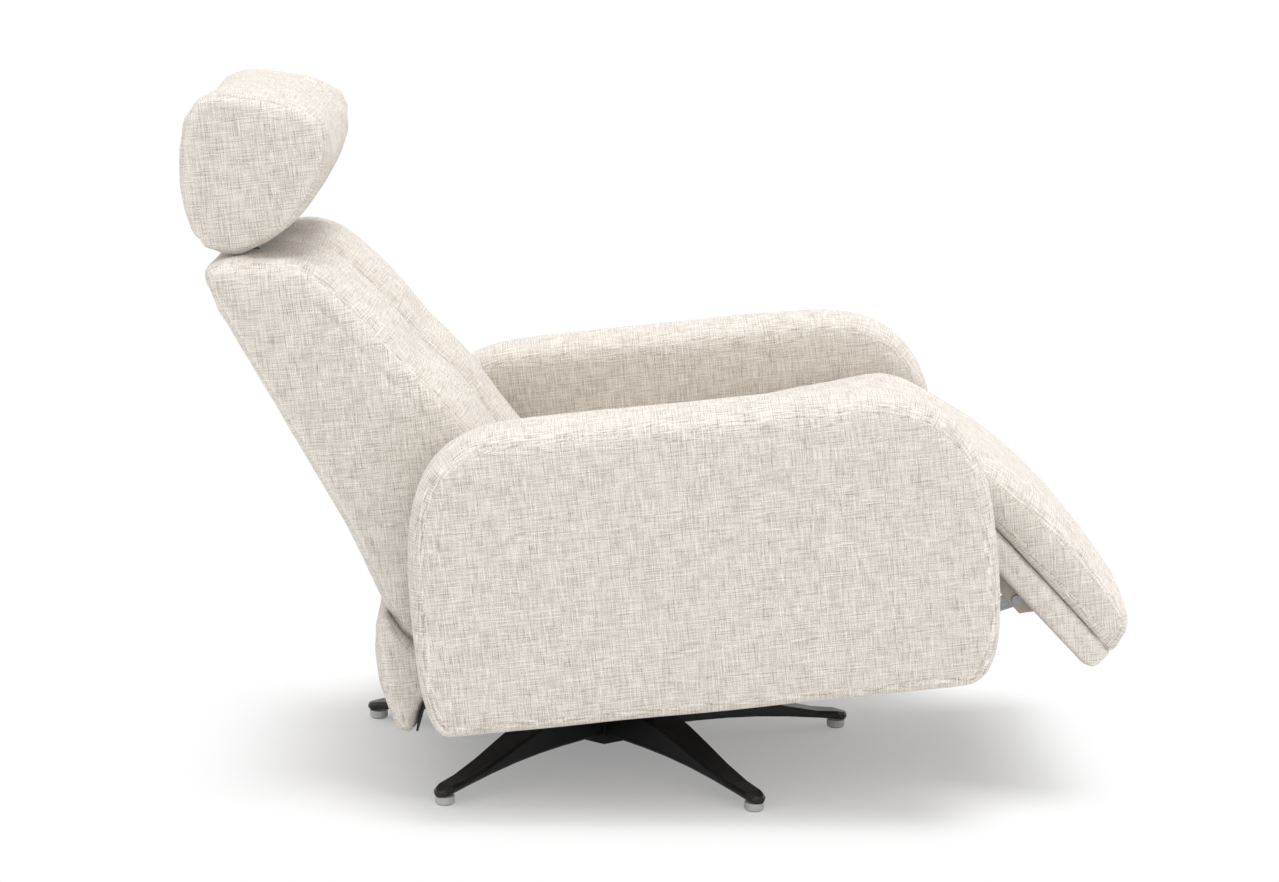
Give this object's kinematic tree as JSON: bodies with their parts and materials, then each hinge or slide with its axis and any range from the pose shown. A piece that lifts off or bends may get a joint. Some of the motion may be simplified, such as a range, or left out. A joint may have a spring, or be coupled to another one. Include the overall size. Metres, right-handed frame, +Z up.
{
  "type": "swivel recliner chair",
  "caption": "Upholstered reclining armchair on a star base, with a fold-out leg rest, a tilting headrest and rounded slab arms.",
  "frame": {"origin": "on the floor, under the middle of the whole chair in the pictured pose", "axes": "+Z up, -Y towards the leg rest (the way a sitter faces), +X towards the sitter's left arm"},
  "size_m": [0.79, 1.3225, 0.9728],
  "materials": {
    "upholstery": "woven, heathered cream",
    "satin_black": "satin black powder coat",
    "bright_steel": "plain",
    "grey_steel": "beige grey, low sheen",
    "plywood": "bare plywood",
    "black_rubber": "matte",
    "glide_plastic": "light grey",
    "webbing": "woven strap"
  },
  "bodies": {
    "base": {"base_hub": "satin_black", "hub_clamp_plate": "satin_black", "base_leg_1": "satin_black", "base_leg_2": "satin_black", "base_leg_3": "satin_black", "base_leg_4": "satin_black", "base_leg_5": "satin_black", "glide_1": "glide_plastic", "glide_2": "glide_plastic", "glide_3": "glide_plastic", "glide_4": "glide_plastic", "glide_5": "glide_plastic", "swivel_post": "bright_steel"},
    "turntable": {"thrust_bearing": "bright_steel", "swivel_housing": "satin_black", "tilt_yoke": "satin_black", "tilt_rubber_bush": "black_rubber"},
    "chassis": {"chassis_rail_front": "satin_black", "chassis_rail_rear": "satin_black", "chassis_keel_left": "satin_black", "chassis_keel_right": "satin_black", "tilt_pin": "bright_steel", "arm_cover_left": "upholstery", "arm_cover_right": "upholstery", "arm_core_left": "plywood", "arm_core_right": "plywood", "seat_rail_left": "plywood", "seat_rail_right": "plywood", "seat_rail_front": "plywood", "seat_rail_rear": "plywood", "seat_stand_left": "satin_black", "seat_stand_right": "satin_black", "leg_hinge_plate_left": "grey_steel", "leg_hinge_plate_right": "grey_steel", "seat_webbing": "webbing", "seat_cushion": "upholstery", "recline_pivot_left": "grey_steel", "recline_pivot_right": "grey_steel", "rear_apron": "upholstery", "apron_strip": "black_rubber"},
    "footrest": {"footrest_cushion": "upholstery", "footrest_board": "upholstery", "footrest_bracket_left": "grey_steel", "footrest_bracket_right": "grey_steel"},
    "footrest_link_left": {"footrest_link_left": "grey_steel"},
    "footrest_link_right": {"footrest_link_right": "grey_steel"},
    "footrest_crank": {"footrest_crank_left": "grey_steel", "footrest_crank_right": "grey_steel", "crank_tube": "grey_steel"},
    "back": {"back_cushion": "upholstery", "back_cover": "upholstery", "back_stile_left": "plywood", "back_stile_right": "plywood", "back_rail_top": "plywood", "back_rail_low": "plywood", "headrest_ratchet_left": "grey_steel", "headrest_ratchet_right": "grey_steel"},
    "headrest": {"headrest_cushion": "upholstery", "headrest_core": "plywood", "headrest_pin": "bright_steel"}
  },
  "joints": [
    {"name": "swivel", "type": "hinge", "parent": "base", "child": "turntable", "pos_m": [0, 0.0689, 0], "axis": [0, 0, 1], "continuous": true},
    {"name": "body_tilt", "type": "hinge", "parent": "turntable", "child": "chassis", "pos_m": [0, 0.0689, 0.19], "axis": [1, 0, 0], "range_deg": [-5, 6.4]},
    {"name": "backrest_recline", "type": "hinge", "parent": "chassis", "child": "back", "pos_m": [0, 0.27058, 0.32838], "axis": [-1, 0, 0], "range_deg": [-13, 20]},
    {"name": "footrest_fold", "type": "hinge", "parent": "chassis", "child": "footrest", "pos_m": [0, -0.35048, 0.44333], "axis": [-1, 0, 0], "range_deg": [-33.8, 52]},
    {"name": "footrest_crank_turn", "type": "hinge", "parent": "chassis", "child": "footrest_crank", "pos_m": [0, -0.15674, 0.37631], "axis": [-1, 0, 0], "range_deg": [-33.8, 52]},
    {"name": "footrest_link_turn_left", "type": "hinge", "parent": "footrest", "child": "footrest_link_left", "pos_m": [0.2165, -0.49732, 0.28263], "axis": [-1, 0, 0], "range_deg": [-52, 33.8]},
    {"name": "footrest_link_turn_right", "type": "hinge", "parent": "footrest", "child": "footrest_link_right", "pos_m": [-0.2165, -0.49732, 0.28263], "axis": [-1, 0, 0], "range_deg": [-52, 33.8]},
    {"name": "headrest_tilt", "type": "hinge", "parent": "back", "child": "headrest", "pos_m": [0, 0.58518, 0.77568], "axis": [-1, 0, 0], "range_deg": [-22, 4]}
  ],
  "couplings": [
    {"joint": "footrest_fold", "follows": "backrest_recline", "ratio": 2.6},
    {"joint": "footrest_crank_turn", "follows": "backrest_recline", "ratio": 2.6},
    {"joint": "footrest_link_turn_left", "follows": "backrest_recline", "ratio": -2.6},
    {"joint": "footrest_link_turn_right", "follows": "backrest_recline", "ratio": -2.6}
  ]
}
